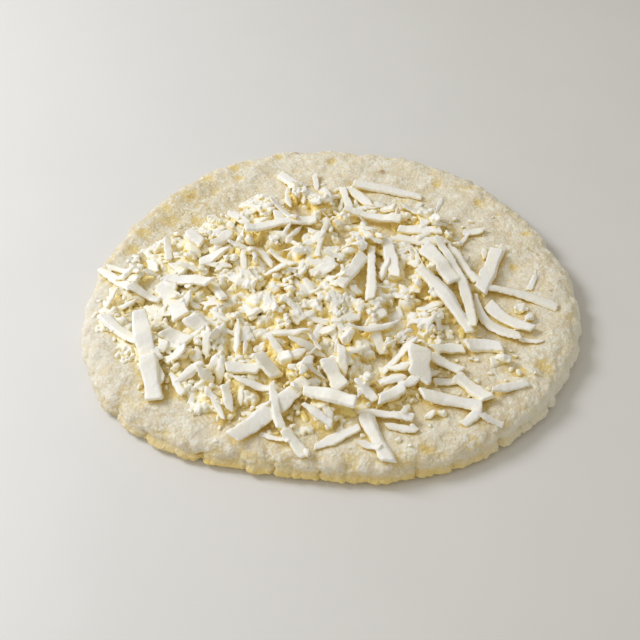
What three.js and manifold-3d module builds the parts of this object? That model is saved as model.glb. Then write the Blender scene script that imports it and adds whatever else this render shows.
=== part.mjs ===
// An arepa: a flat, pale corn cake, thick as a finger, with a heap of coarsely grated white cheese.
// Millimetres, +Z up. The origin is the middle of the flat underside, +Y points to the back.
import * as THREE from "three";
import { mergeVertices } from "three/addons/utils/BufferGeometryUtils.js";
import Module from "manifold-3d";

const wasm = await Module();
wasm.setup();

// ---- Driving dimensions ----

// The cake is a hand-patted round, 209 wide and 192 deep.
const CAKE_RADIUS = 100.7;
// Each row is a bulge of its outline: how many go round it, how far they stand out, and where one peaks.
const BULGES = [
  [1, 1.1, -66],
  [2, 4.2, -2],
  [3, 2.4, -88],
  [4, 1.3, 132],
  [5, 0.6, -42],
  [6, 0.45, -76],
];
// Fine unevenness of its edge, in the same form.
const EDGE_WAVES = [
  [17, 0.3, 40],
  [26, 0.28, 110],
  [37, 0.22, -20],
  [49, 0.2, 75],
];
// Profile of the edge, from the underside round to the top: how far inside the outline, and how high.
const RIM_PROFILE = [
  [7, 0],
  [2.6, 0.5],
  [0.6, 1.9],
  [0, 4.2],
  [0.9, 7],
  [3.2, 9.2],
  [6.8, 10.3],
  [11.5, 10.5],
  [20, 10],
  [40, 9.5],
];
const CAKE_MIDDLE_HEIGHT = 9.6;
const CAKE_SEGMENTS = 100;
// Soft lumps of the patted top: height, wavelength along X and along Y, phase.
const TOP_LUMPS = [
  [0.28, 46, 37, 0.4],
  [0.22, -23, 31, 1.9],
  [0.16, 15, -19, 4.1],
];
// Splits in the edge: where they are in degrees from +X, how deep they go in, and how wide they gape.
const SPLITS = [
  [-142, 2, 2.4],
  [-120, 4.2, 3.4],
  [-103.5, 2.8, 2.6],
  [-93, 2.4, 2.2],
  [-72, 2, 2],
  [-52, 2.8, 2.8],
  [-37, 2.4, 2.6],
  [-25, 2, 2.4],
  [62, 2, 2.6],
  [128, 2.2, 2.8],
  [171, 2, 2.4],
];

// The cheese lies in a low heap, a little left of and in front of the cake's middle.
const HEAP_CENTRE = [-11, -7];
const HEAP_RADIUS = 71;
const HEAP_BULGES = [
  [1, 2, -140],
  [2, 3, 50],
  [4, 2, 45],
  [9, 1.6, 10],
  [14, 1.6, 70],
];
const CORE_MIDDLE_HEIGHT = 5;
const CORE_EDGE_HEIGHT = 0.9;
const HEAP_GAP = 0.3;
const HEAP_SEED = 20;
const SHRED_THICKNESS = 0.48; // of a shred's width
const SHRED_SINK = 1; // how far a shred presses into what it lies on
const SHRED_STIFFNESS = 0.25; // 1 spans every hollow, 0 follows every bump
const END_TAPER = 0.18; // how much narrower a shred is at its ends
const SHRED_STEP = 8; // longest piece of a shred between two sections
const BIT_COUNT = 20;
const BIT_LENGTH = [5, 12];
const CRUMB_COUNT = 24;
const CRUMB_RADIUS = [1.3, 3];

// The long shreds, lowest first: from x, y to x, y, width, and how far the middle bows to its left.
const LEFT_SHREDS = [
  [-102, 14, -83, -9, 3.8, 1],
  [-101, 14, -86, 7, 3.2, 0.5],
  [-80, 17, -74, 5, 4.5, 0],
  [-73, 27, -69, 10, 4, 0],
  [-63, 29, -55, 21, 7, 0],
  [-41, 33, -51, 17, 5, 0],
  [-84, -5, -69, -18, 4, 0],
  [-94, -18, -77, -38, 6.5, -1],
  [-68, -31, -57, -39, 7.5, 0],
  [-57, 6, -42, 10, 6, 0],
  [-51, -2, -45, -17, 4, 0],
  [-72, -1, -49, -8, 7, 1],
  [-73, -4, -60, -24, 7.5, 1],
  [-80, -21, -69, -50, 6.5, -1],
  [-71, -46, -69, -61, 7, 0],
  [-62, -50, -53, -61, 3, 0],
];
const MIDDLE_SHREDS = [
  [-37, -26, -37, -46, 3, 0],
  [-36, 32, -40, 15, 3.5, 0],
  [-30, 13, -24, 5, 4, 0],
  [-26, 15, -15, 3, 4, 0],
  [-37, 27, -5, 34, 5, 1.5],
  [-24, 42, -20, 30, 3, 0],
  [0, 35, -5, 9, 3, -1],
  [24, 12, 27, -8, 4, 0],
  [10, -1, 2, -14, 4, 0],
  [17, 13, 14, -20, 3.4, 1],
  [-4, -26, -9, -40, 3.5, 0],
  [-25, -36, -8, -37, 4, 0],
  [-17, -40, -2, -44, 4, 0],
];
const FRONT_SHREDS = [
  [-44, -66, -40, -75, 3, 0],
  [-41, -58, -38, -70, 4, 0],
  [-40, -49, -27, -52, 6, 0],
  [-39, -55, -23, -60, 4, 0],
  [-27, -46, -18, -52, 7, 0],
  [-18, -76, -8, -87, 4.6, 0],
  [-10, -68, 0, -77, 4, 0],
  [10, -73, -8, -83, 4.6, 0],
  [-9, -61, 10, -69, 6, 0.5],
  [9, -67, 32, -72, 4.4, 0],
  [-3, -43, 4, -62, 7, 0],
  [11, -70, 18, -87, 5.6, 0],
  [-38, -79, -5, -53, 6.8, -0.5],
  [-25, -57, -20, -78, 4, -0.5],
  [20, -73.5, 37, -77, 4.4, 0],
  [17, -64, 28, -60, 4, 0],
];
const FRONT_RIGHT_SHREDS = [
  [18, -57, 28, -55, 4, 0],
  [34, -40, 20, -51, 3.6, 0],
  [28, -27, 7, -35, 4.2, 2],
  [39, -39, 52, -35, 5, 1],
  [39, -42, 51, -50, 5, 0],
  [38, -51, 51, -52, 5, 0],
  [51, -35, 68, -40, 5, 2],
  [47, -49, 61, -65, 6, 0],
  [59, -60, 77, -55, 3.2, 0],
  [32, -61, 58, -67, 5, 0.5],
  [35, -45, 31, -60, 7.6, 0],
];
const RIGHT_SHREDS = [
  [37, 16, 39, -6, 3, 0],
  [41, -5, 55, -35, 5, 1],
  [61, -14, 84, -28, 6, -1.5],
  [60, -12, 77, -31, 5.4, -8],
  [52, 16, 62, 0, 4.2, 0],
  [45, 18, 58, -31, 5, 3],
  [42, 12, 52, -7, 7.4, 0.5],
  [66, -7, 95, -13, 5.6, 1.5],
  [71, 16, 62, -11, 6.6, 0],
  [77, 19, 69, 7, 3.6, 0],
];
const BACK_SHREDS = [
  [-18, 66, -17, 44, 3.4, -2],
  [-24, 78, -14, 62, 6, 0],
  [-27, 50, -17, 32, 3.6, 0],
  [-7, 74, -6, 62, 3.2, 0],
  [-1, 64, -1, 50, 5.4, 0],
  [6, 65, 9, 48, 4, 0],
  [11, 67, 21, 49, 5, 0],
  [11, 66, 43, 59, 6, 1],
  [7, 45, 33, 37, 4.2, 0],
  [24, 47, 28, 39, 7, 0],
  [29, 27, 51, 19, 4.6, 0],
  [31, 33, 50, 28, 5, 0],
  [42, 44, 44, 31, 6, 0],
];
const LONG_SHREDS = [
  ...LEFT_SHREDS,
  ...MIDDLE_SHREDS,
  ...BACK_SHREDS,
  ...FRONT_SHREDS,
  ...FRONT_RIGHT_SHREDS,
  ...RIGHT_SHREDS,
];

// The support grid: how high the surface stands under each point while the cheese is laid down.
const GRID_CELL = 1.5;
const GRID_HALF_WIDTH = 111;
const GRID_HALF_DEPTH = 103.5;

// ---- Small helpers ----

const degrees = (value) => (value * Math.PI) / 180;

function seededRandom(seed) {
  let state = seed >>> 0;
  return () => {
    state = (Math.imul(state, 1664525) + 1013904223) >>> 0;
    return state / 4294967296;
  };
}

function between(random, [low, high]) {
  return low + (high - low) * random();
}

// A geometry's solid: positions only, with shared vertices merged and collapsed triangles dropped.
function solidOf(geometry) {
  const bare = geometry.clone();
  bare.deleteAttribute("normal");
  bare.deleteAttribute("uv");
  const merged = mergeVertices(bare, 1e-4);
  const index = merged.index.array;
  const triangles = [];
  for (let i = 0; i < index.length; i += 3) {
    const [a, b, c] = [index[i], index[i + 1], index[i + 2]];
    if (a !== b && b !== c && c !== a) triangles.push(a, b, c);
  }
  const mesh = new wasm.Mesh({
    numProp: 3,
    vertProperties: new Float32Array(merged.attributes.position.array),
    triVerts: new Uint32Array(triangles),
  });
  const solid = new wasm.Manifold(mesh);
  if (solid.volume() > 0) return solid;
  for (let i = 0; i < triangles.length; i += 3) {
    [triangles[i + 1], triangles[i + 2]] = [triangles[i + 2], triangles[i + 1]];
  }
  mesh.triVerts = new Uint32Array(triangles);
  return new wasm.Manifold(mesh);
}

function geometryOf(solid) {
  const mesh = solid.getMesh();
  const geometry = new THREE.BufferGeometry();
  geometry.setAttribute("position", new THREE.BufferAttribute(mesh.vertProperties, 3));
  geometry.setIndex(new THREE.BufferAttribute(mesh.triVerts, 1));
  geometry.computeVertexNormals();
  return geometry;
}

// Moves every vertex of a geometry to where the rule puts it.
function reshape(geometry, rule) {
  const position = geometry.attributes.position;
  const point = new THREE.Vector3();
  for (let i = 0; i < position.count; i++) {
    point.fromBufferAttribute(position, i);
    rule(point);
    position.setXYZ(i, point.x, point.y, point.z);
  }
  return geometry;
}

// ---- The corn cake ----

function waveSum(waves, angle) {
  let total = 0;
  for (const [times, height, peak] of waves) {
    total += height * Math.cos(times * angle - degrees(peak));
  }
  return total;
}

function cakeOutline(angle) {
  return CAKE_RADIUS + waveSum(BULGES, angle) + waveSum(EDGE_WAVES, angle);
}

function topLumps(x, y) {
  let total = 0;
  for (const [height, alongX, alongY, phase] of TOP_LUMPS) {
    total += height * Math.sin(2 * Math.PI * (x / alongX + y / alongY) + phase);
  }
  return total;
}

// How high the cake's top stands a given way inside its outline.
function profileHeight(inset) {
  const top = RIM_PROFILE.slice(3);
  if (inset <= 0) return 0;
  for (let i = 1; i < top.length; i++) {
    const [nearInset, nearHeight] = top[i - 1];
    const [farInset, farHeight] = top[i];
    if (inset <= farInset) {
      const share = (inset - nearInset) / (farInset - nearInset);
      return nearHeight + share * (farHeight - nearHeight);
    }
  }
  return top[top.length - 1][1];
}

function cakeTop(x, y) {
  const inset = cakeOutline(Math.atan2(y, x)) - Math.hypot(x, y);
  const height = profileHeight(inset);
  return height > 0 ? height + topLumps(x, y) : 0;
}

// The cake turned round its axis and pushed out to its uneven outline. The skin is what is added all over.
function cakeSolid(skin) {
  const points = [new THREE.Vector2(0, -skin)];
  for (const [inset, height] of RIM_PROFILE) {
    const lift = height > 4 ? skin : height < 1 ? -skin : 0;
    const out = inset < 20 ? skin : 0;
    points.push(new THREE.Vector2(CAKE_RADIUS - inset + out, height + lift));
  }
  points.push(new THREE.Vector2(0, CAKE_MIDDLE_HEIGHT + skin));
  const geometry = new THREE.LatheGeometry(points, CAKE_SEGMENTS);
  geometry.rotateX(Math.PI / 2);
  reshape(geometry, (point) => {
    const radius = Math.hypot(point.x, point.y);
    if (point.z > 4.5) point.z += topLumps(point.x, point.y);
    if (radius === 0) return;
    const scale = cakeOutline(Math.atan2(point.y, point.x)) / CAKE_RADIUS;
    point.x *= scale;
    point.y *= scale;
  });
  return solidOf(geometry);
}

// A wedge that opens outwards, leaning a little, to cut one split in the edge.
function splitCutter([angle, depth, width]) {
  const length = depth + 6;
  const wedge = new THREE.Shape([
    new THREE.Vector2(0, 0),
    new THREE.Vector2(length, -width),
    new THREE.Vector2(length, width),
  ]);
  const height = 6;
  const geometry = new THREE.ExtrudeGeometry(wedge, { depth: height, bevelEnabled: false });
  geometry.translate(cakeOutline(degrees(angle)) - depth, 0, -1);
  geometry.rotateZ(degrees(angle));
  return solidOf(geometry);
}

function cornCake() {
  return cakeSolid(0).subtract(wasm.Manifold.union(SPLITS.map(splitCutter)));
}

// ---- The grated cheese ----

// How high the heap's core stands above the cake, and how far it reaches.
function coreReach(angle) {
  return HEAP_RADIUS + waveSum(HEAP_BULGES, angle);
}

function coreHeight(x, y) {
  const [dx, dy] = [x - HEAP_CENTRE[0], y - HEAP_CENTRE[1]];
  const share = Math.hypot(dx, dy) / coreReach(Math.atan2(dy, dx));
  if (share >= 1) return 0;
  const dome = CORE_EDGE_HEIGHT + (CORE_MIDDLE_HEIGHT - CORE_EDGE_HEIGHT) * (1 - share ** 2.4);
  const lumps = 0.55 * Math.sin(x / 2.7 + 1) * Math.cos(y / 2.3) + 0.4 * Math.sin(x / 1.9 - y / 3.1);
  return dome + lumps * (1 - share ** 4);
}

function coreSolid() {
  const rings = 10;
  const points = [new THREE.Vector2(0, 0), new THREE.Vector2(1, 0)];
  for (let ring = rings; ring >= 0; ring--) {
    points.push(new THREE.Vector2((0.995 * ring) / rings, 1));
  }
  const geometry = new THREE.LatheGeometry(points, 40);
  geometry.rotateX(Math.PI / 2);
  reshape(geometry, (point) => {
    const reach = coreReach(Math.atan2(point.y, point.x));
    const x = HEAP_CENTRE[0] + point.x * reach;
    const y = HEAP_CENTRE[1] + point.y * reach;
    const base = cakeTop(x, y);
    point.z = point.z > 0.5 ? base + HEAP_GAP + coreHeight(x, y) : base - 2;
    point.x = x;
    point.y = y;
  });
  return solidOf(geometry);
}

// The grid of support heights, with its own reading and raising.
class SupportGrid {
  constructor(heightAt) {
    this.columns = Math.round((2 * GRID_HALF_WIDTH) / GRID_CELL) + 1;
    this.rows = Math.round((2 * GRID_HALF_DEPTH) / GRID_CELL) + 1;
    this.heights = new Float64Array(this.columns * this.rows);
    for (let row = 0; row < this.rows; row++) {
      for (let column = 0; column < this.columns; column++) {
        const x = column * GRID_CELL - GRID_HALF_WIDTH;
        const y = row * GRID_CELL - GRID_HALF_DEPTH;
        this.heights[row * this.columns + column] = heightAt(x, y);
      }
    }
  }

  cell(x, y) {
    const column = Math.round((x + GRID_HALF_WIDTH) / GRID_CELL);
    const row = Math.round((y + GRID_HALF_DEPTH) / GRID_CELL);
    if (column < 0 || row < 0 || column >= this.columns || row >= this.rows) return -1;
    return row * this.columns + column;
  }

  read(x, y) {
    const cell = this.cell(x, y);
    return cell < 0 ? 0 : this.heights[cell];
  }

  raise(x, y, height) {
    const cell = this.cell(x, y);
    if (cell >= 0) this.heights[cell] = Math.max(this.heights[cell], height);
  }
}

// The line that a rod resting on bumps takes: the straight stretch of the bumps' hull over its middle.
function restingLine(supports) {
  const last = supports.length - 1;
  const middle = last / 2;
  let best = [supports[0], 0];
  let lowest = Infinity;
  for (let i = 0; i <= middle; i++) {
    for (let j = Math.ceil(middle); j <= last; j++) {
      if (i === j) continue;
      const slope = (supports[j] - supports[i]) / (j - i);
      const start = supports[i] - slope * i;
      const clears = supports.every((height, k) => start + slope * k > height - 1e-9);
      if (clears && start + slope * middle < lowest) {
        lowest = start + slope * middle;
        best = [start, slope];
      }
    }
  }
  return best;
}

// The middle line of one shred's underside, laid on what is already there.
function layShred(grid, [x0, y0, x1, y1, width, bow]) {
  const length = Math.hypot(x1 - x0, y1 - y0);
  const count = Math.max(3, Math.ceil(length / GRID_CELL));
  const side = [-(y1 - y0) / length, (x1 - x0) / length];
  const points = [];
  for (let i = 0; i <= count; i++) {
    const share = i / count;
    const out = 4 * bow * share * (1 - share);
    const x = x0 + (x1 - x0) * share + side[0] * out;
    const y = y0 + (y1 - y0) * share + side[1] * out;
    points.push(new THREE.Vector3(x, y, 0));
  }
  const beside = (point, across) => [point.x + side[0] * across * width, point.y + side[1] * across * width];
  const supports = points.map((point) =>
    Math.max(...[-0.3, 0, 0.3].map((across) => grid.read(...beside(point, across)))),
  );
  const [start, slope] = restingLine(supports);
  points.forEach((point, i) => {
    const straight = start + slope * i;
    point.z = supports[i] + SHRED_STIFFNESS * (straight - supports[i]);
  });
  const eased = points.map((point, i) => {
    const before = points[Math.max(0, i - 1)].z;
    const after = points[Math.min(count, i + 1)].z;
    return (before + 2 * point.z + after) / 4;
  });
  const thickness = width * SHRED_THICKNESS;
  points.forEach((point, i) => {
    point.z = eased[i] - SHRED_SINK;
    for (const across of [-0.4, -0.2, 0, 0.2, 0.4]) {
      grid.raise(...beside(point, across), point.z + thickness * (1 - across * across));
    }
  });
  return points;
}

// One shred: a five-sided bar bent along its laid line, rounder above than below and narrower at its ends.
function shredSolid(grid, shred) {
  const line = new THREE.CatmullRomCurve3(layShred(grid, shred));
  const width = shred[4];
  const thickness = width * SHRED_THICKNESS;
  const sections = Math.max(1, Math.round(line.getLength() / SHRED_STEP));
  const geometry = new THREE.CylinderGeometry(1, 1, 1, 5, sections);
  geometry.rotateY(Math.PI / 2);
  reshape(geometry, (point) => {
    const share = Math.min(1, Math.max(0, point.y + 0.5));
    const place = line.getPointAt(share);
    const tangent = line.getTangentAt(share);
    const side = new THREE.Vector3(-tangent.y, tangent.x, 0).normalize();
    const up = new THREE.Vector3().crossVectors(tangent, side).normalize();
    const taper = 1 - END_TAPER * Math.abs(2 * share - 1) ** 6;
    const across = point.z * 0.55 * width * taper;
    const above = (0.45 + 0.55 * point.x) * thickness * taper;
    point.copy(place).addScaledVector(side, across).addScaledVector(up, above);
  });
  return solidOf(geometry);
}

// A crumb: a squashed lump of a few faces, lying on what is below it.
function crumbSolid(grid, random, x, y) {
  const radius = between(random, CRUMB_RADIUS);
  const turn = new THREE.Euler(random() * 6.28, random() * 6.28, random() * 6.28);
  const height = grid.read(x, y) + 0.15 * radius;
  const geometry = new THREE.IcosahedronGeometry(radius, 0);
  geometry.applyMatrix4(new THREE.Matrix4().makeRotationFromEuler(turn));
  geometry.scale(1, between(random, [0.6, 1]), 0.62);
  geometry.translate(x, y, height);
  grid.raise(x, y, height + 0.5 * radius);
  return solidOf(geometry);
}

// A random place in the heap, at most the given share of its reach from the middle.
function heapPlace(random, most) {
  const angle = 2 * Math.PI * random();
  const share = most * Math.sqrt(random());
  const reach = coreReach(angle);
  return [HEAP_CENTRE[0] + share * reach * Math.cos(angle), HEAP_CENTRE[1] + share * reach * Math.sin(angle)];
}

function gratedCheese() {
  const random = seededRandom(HEAP_SEED);
  const grid = new SupportGrid((x, y) => {
    const base = cakeTop(x, y);
    return base > 0 ? base + HEAP_GAP + coreHeight(x, y) : 0;
  });
  const pieces = [coreSolid()];
  for (let i = 0; i < BIT_COUNT; i++) {
    const [x, y] = heapPlace(random, 0.96);
    const angle = Math.PI * random();
    const half = between(random, BIT_LENGTH) / 2;
    const [dx, dy] = [half * Math.cos(angle), half * Math.sin(angle)];
    pieces.push(shredSolid(grid, [x - dx, y - dy, x + dx, y + dy, between(random, [3, 4.6]), 0]));
  }
  for (const shred of LONG_SHREDS) pieces.push(shredSolid(grid, shred));
  for (let i = 0; i < CRUMB_COUNT; i++) pieces.push(crumbSolid(grid, random, ...heapPlace(random, 1)));
  const heap = wasm.Manifold.union(pieces).subtract(cakeSolid(HEAP_GAP));
  const bodies = heap.decompose().sort((a, b) => b.volume() - a.volume());
  return bodies[0];
}

// ---- The scene graph ----

const cornDough = new THREE.MeshStandardMaterial({ color: 0xebe1c8, roughness: 0.85, metalness: 0 });
const freshCheese = new THREE.MeshStandardMaterial({ color: 0xf8f7f0, roughness: 0.5, metalness: 0 });

const cake = new THREE.Mesh(geometryOf(cornCake()), cornDough);
cake.name = "corn_cake";

const cheese = new THREE.Mesh(geometryOf(gratedCheese()), freshCheese);
cheese.name = "grated_cheese";

const arepa = new THREE.Group();
arepa.add(cake, cheese);

export default arepa;
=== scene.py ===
"""An arepa: a pale griddled corn cake with a low heap of coarsely grated white cheese.

Shapes are worked out in millimetres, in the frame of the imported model, and become metres when a mesh is made.
"""

import collections
import itertools
import math
import random

import bmesh
import bpy
import numpy as np
from mathutils import Euler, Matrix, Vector


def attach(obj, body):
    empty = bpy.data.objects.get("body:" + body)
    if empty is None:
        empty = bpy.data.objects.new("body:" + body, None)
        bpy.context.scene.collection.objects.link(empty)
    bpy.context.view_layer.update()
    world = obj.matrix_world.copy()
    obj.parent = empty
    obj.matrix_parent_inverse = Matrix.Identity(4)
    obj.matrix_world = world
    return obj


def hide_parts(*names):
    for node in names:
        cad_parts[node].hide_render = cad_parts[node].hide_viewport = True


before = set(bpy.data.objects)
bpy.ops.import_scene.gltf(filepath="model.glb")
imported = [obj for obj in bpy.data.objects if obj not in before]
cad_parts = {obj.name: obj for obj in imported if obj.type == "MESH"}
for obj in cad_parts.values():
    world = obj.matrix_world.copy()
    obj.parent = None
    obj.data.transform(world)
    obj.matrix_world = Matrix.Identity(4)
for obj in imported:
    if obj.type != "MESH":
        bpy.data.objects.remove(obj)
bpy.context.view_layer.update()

MM = 0.001
SEED = 20

# ---- The cake's driving sizes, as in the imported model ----

CAKE_RADIUS = 100.7
# Bulges of the outline: how many, how far out, and where one peaks, in degrees.
BULGES = [(1, 1.1, -66), (2, 4.2, -2), (3, 2.4, -88), (4, 1.3, 132), (5, 0.6, -42), (6, 0.45, -76)]
EDGE_WAVES = [(17, 0.3, 40), (26, 0.28, 110), (37, 0.22, -20), (49, 0.2, 75)]
# Profile of the edge from the underside to the top: how far inside the outline, and how high.
RIM_PROFILE = [
    (7, 0), (2.6, 0.5), (0.6, 1.9), (0, 4.2), (0.9, 7), (3.2, 9.2), (6.8, 10.3), (11.5, 10.5), (20, 10),
    (40, 9.5),
]
CAKE_TOP = max(height for _, height in RIM_PROFILE)
CAKE_MIDDLE_HEIGHT = 9.6
# Long low swells of the top: height, length along X and along Y, and phase.
TOP_LUMPS = [(0.28, 46, 37, 0.4), (0.22, -23, 31, 1.9), (0.16, 15, -19, 4.1)]
# Splits in the edge: degrees from +X, depth, width of the mouth, and how far the far lip stands out.
SPLITS = [
    (-142, 2.0, 2.4, 0.3), (-134, 0.9, 1.6, -0.4), (-129, 0.9, 1.5, 0.3), (-120, 4.2, 3.4, 1.2),
    (-110, 1.4, 1.8, -0.4), (-103.5, 2.4, 2.6, 1.1), (-99.5, 0.8, 1.4, 0.3), (-93, 2.2, 2.2, 1.2),
    (-87.5, 1.3, 1.6, -0.4), (-80, 0.8, 1.4, 0.2), (-72, 2.0, 2.0, -0.7), (-64, 1.2, 2.2, -0.6),
    (-57, 1.0, 1.6, 0.3), (-52, 2.8, 2.8, -0.8), (-46, 1.3, 1.8, 0.4), (-43, 1.1, 1.5, 0.5),
    (-37, 2.4, 2.6, 0.5), (-33.5, 1.3, 1.6, -0.4), (-25.5, 2.0, 2.4, -0.7), (-17, 1.1, 1.6, 0.4),
    (20, 1.0, 1.6, 0.3), (62, 2.0, 2.6, 0.4), (95, 1.2, 1.8, -0.3), (128, 2.2, 2.8, 0.4),
    (150, 1.2, 1.8, 0.3), (171, 2.0, 2.4, -0.4), (-165, 1.2, 1.8, 0.3),
]
# Layers of relief: how far each stands out, the size of one wave or grain, and a seed.
DOUGH_WAVES = [(0.42, 9, 1), (0.32, 4.2, 2)]
DOUGH_GRAINS = [(0.3, 1.7, 3), (0.35, 3.4, 24)]
EDGE_TEARS = [(0.7, 2.9, 7), (0.6, 1.5, 17)]
PIT_DEPTH = 0.36
DIMPLE_DEPTH = 0.8
PUFF_HEIGHT = 1.5

# The cake's rings: points in each, and their spacing in the edge, on the top and out of sight.
CAKE_SEGMENTS = 700
EDGE_SPACING = 0.55
TOP_SPACING = 0.8
HIDDEN_SPACING = 3.4
EDGE_REACH = 12  # how far in the edge reaches, and from where the heap covers the top
HEAP_COVER = 56
PROFILE_ROUNDINGS = 3

GOLDEN_DIMPLES = [  # x, y, radius
    (-72.7, 41.3, 4.2), (-60.7, 41.1, 3.4), (-65.1, 58.4, 3.2), (-80.2, 13.5, 3), (-53.6, 62.6, 2.4),
    (-88, 22, 3.2), (-42.2, 71.6, 2.6), (83, -47.9, 3.2), (88.7, 29.1, 2.2), (70, 51.8, 2), (55.8, 32.4, 3),
    (73.2, -50.8, 2.6), (33.8, -86, 3), (-76, 50, 3), (-82.1, -40.5, 3), (-84, 33, 3.2), (-58, 72, 2.6),
    (-46, 80, 2.2), (2, 84, 2.4), (-24, 88, 2.2), (52, 66, 2.4), (80, 8, 2), (-30, -88, 2.4), (6, -92, 2.2),
    (-94, -14, 2.6),
]
WARM_SIDE = (-72, 48, 52)  # x and y of the middle of the warmer dough, and its radius
WHITE_SIDE = (-100, -24, 40)  # the same for the whiter dough
TOASTED_SPOTS = [  # x, y, radius, strength
    (26.5, 75.8, 1.7, 1.0), (-64.6, 58.4, 1.6, 0.6), (-42.6, 62.5, 1.1, 0.6), (-15.4, 91.8, 2.4, 0.6),
    (15.0, 93.7, 1.8, 0.45), (69.2, 49.6, 0.9, 0.6), (93.3, -6.9, 0.9, 0.8), (91.7, 15.3, 0.8, 0.6),
    (-77.9, -40.0, 1.3, 0.35), (-80.4, -52.7, 1.4, 0.35), (-70.6, -66.4, 1.2, 0.35), (-51, 86, 1.0, 0.5),
]

# ---- The cheese's driving sizes ----

HEAP_CENTRE = (-11, -7)
HEAP_RADIUS = 71
HEAP_BULGES = [(1, 2, -140), (2, 3, 50), (4, 2, 45), (9, 1.6, 10), (14, 1.6, 70)]
HEAP_MIDDLE_HEIGHT = 5
HEAP_EDGE_HEIGHT = 0.9
# How far the last crumbs reach past the heap, at degrees from +X.
SPREAD = [
    (-180, 8), (-165, 7), (-150, -3), (-130, -3), (-95, 0), (-60, 2), (0, 3), (45, 2), (90, 0), (125, -5),
    (150, 0), (180, 8),
]
# Thinly strewn places: x and y of two corners, and how many crumbs.
STREWN = [
    (-72, 26, -34, 50, 16), (52, 12, 80, 44, 12), (-94, -30, -76, 10, 9), (-44, -88, 40, -70, 14),
    (50, -62, 80, -20, 12), (26, -66, 62, -30, 60), (-46, -74, 30, -54, 80), (-74, -60, -44, -36, 40),
]
HEAP_TOP = 17.2  # few pieces are laid where the heap stands higher
STRAY_SHARE = 0.04  # of the small pieces that still land on bare places

# The core: how far its banks and hollows lie below the heap's form, and the waves that part them.
BANK_DEPTH = 1.6
HOLLOW_DEPTH = 3.8
BANK_WAVES = [(1, 8.5, 31), (0.6, 4.3, 32)]
CORE_WAVES = [(0.6, 5, 21), (0.2, 2.2, 22)]
LEFT_BANKS = 0.26  # the left side is fuller
LEFT_HOLLOWS = 0.9
# Bits stamped into it: how many, how far out, how full a place they take, lengths, widths and heights.
STAMPED_BITS = [
    (900, 0.96, 0.06, (4, 9), (2.4, 4.6), (0.5, 1.3)),
    (1700, 1.0, 0.04, (2.4, 5), (1.6, 3), (0.4, 1.0)),
    (1200, 1.03, 0.0, (1.6, 3.4), (1.2, 2.2), (0.25, 0.6)),
]
CORE_SKIRT = 0.8  # how far its rim and floor lie below the cake's top
CORE_FLOOR = 2.5

# Flakes below and on the long shreds: how many, lengths, widths, and how far one end stands up.
LOWER_FLAKES = (165, (6, 14), (2.2, 5), 0.0)
UPPER_FLAKES = (170, (4.5, 12), (1.9, 4.4), 0.4)
FLAKE_REACH = 0.95
# Clumps: how many, the crumbs' radii, how many in each, how far out, and how full a place they take.
LOWER_CLUMPS = (60, (1.4, 2.9), (3, 6), 0.95, 0.1)
UPPER_CLUMPS = (55, (1.0, 2.1), (3, 7), 0.97, 0.08)
STREWN_RADII = (0.7, 1.5)
SINGLE_CRUMBS = 60
SINGLE_RADII = (0.5, 1.2)
LUMP_FACETS = 10

SHRED_THICKNESS = (0.24, 0.4)  # of a shred's width
THICKEST_SHRED = 2.1
SHRED_SINK = 0.4
SHRED_STIFFNESS = 0.75  # 0 follows every bump, 1 stays straight
SHRED_WAVES = [(0.24, 2.6, 11), (0.26, 1.2, 12)]
BLUNT_FROM_WIDTH = 4.3  # wider ones mostly end bluntly
CLEAN_FROM_WIDTH = 3.6  # wider ones stay clean of small pieces, with a margin in cells
CLEAN_MARGIN = 4

DEEPEST = 1.6  # the depth of the deepest crevices, for their painted shade

# The meshes: most triangles, and for the loose pieces voxel size, rounds of smoothing and curd relief.
CORE_TRIANGLES = 150000
FUSING = {
    "cheese_flakes": (190000, 0.32, 1, 0.2),
    "cheese_crumbs": (190000, 0.3, 2, 0.24),
    "cheese_shreds": (170000, 0.34, 1, 0.14),
}
FEWEST_FACES = 12  # a body with fewer is a scrap

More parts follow.
